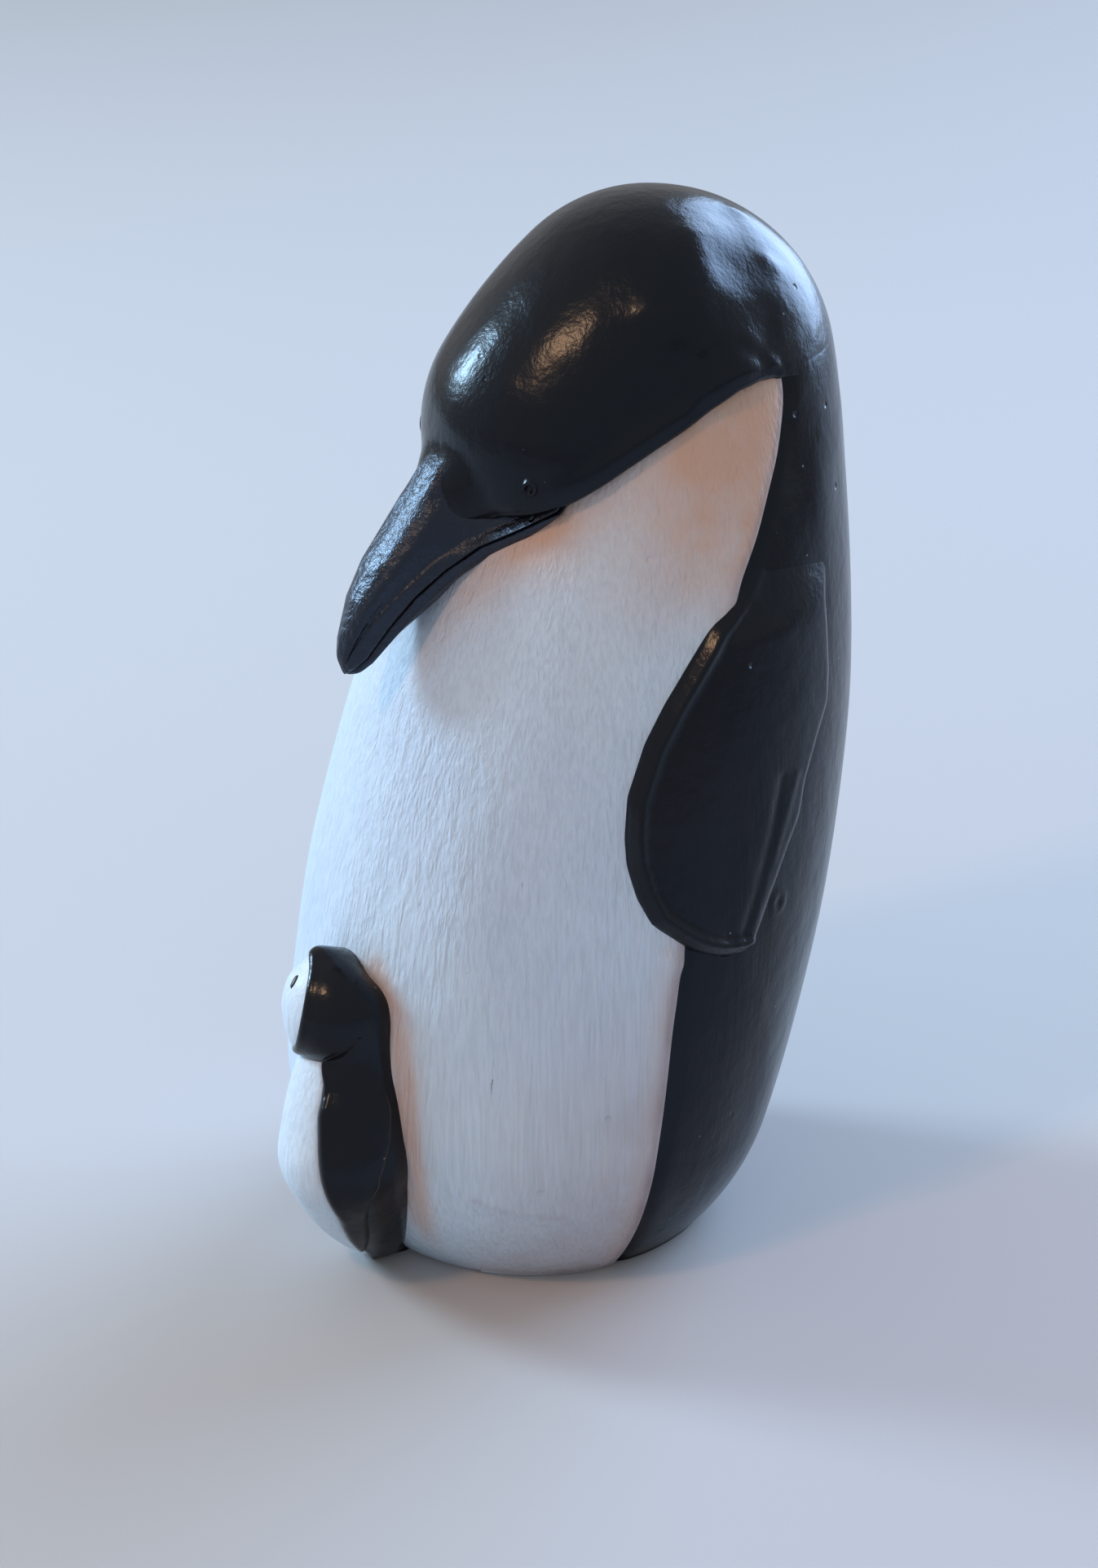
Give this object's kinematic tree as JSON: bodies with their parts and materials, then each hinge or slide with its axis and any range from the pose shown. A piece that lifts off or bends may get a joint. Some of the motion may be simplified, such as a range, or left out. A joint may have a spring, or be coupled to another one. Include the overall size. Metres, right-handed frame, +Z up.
{
  "type": "penguin figurine",
  "caption": "Small free-standing ornament of a penguin that bows its head over a chick leaning on its belly, shaped by hand from clay, black on the back and white in front",
  "frame": {"origin": "on the standing surface, at the middle of the flat foot, below the adult", "axes": "+Z up, -Y is the way the adult faces, +X is its left"},
  "size_m": [0.0446, 0.0532, 0.0854],
  "materials": {
    "black_paint": "satin black acrylic over hardened polymer clay",
    "white_paint": "brushed matt white acrylic over hardened polymer clay",
    "raw_clay": "bare hardened polymer clay",
    "eye_paint": "dark grey acrylic dot"
  },
  "bodies": {
    "root": {"body_core": "raw_clay", "belly_panel": "white_paint", "back_mantle": "black_paint", "head": "black_paint", "left_eye": "black_paint", "right_eye": "black_paint", "upper_mandible": "black_paint", "lower_mandible": "black_paint", "left_flipper": "black_paint", "right_flipper": "black_paint", "chick_body": "black_paint", "chick_belly": "white_paint", "chick_head": "black_paint", "chick_face": "white_paint", "chick_beak": "black_paint", "chick_left_eye": "eye_paint", "chick_right_eye": "eye_paint", "chick_left_flipper": "black_paint"}
  },
  "joints": []
}
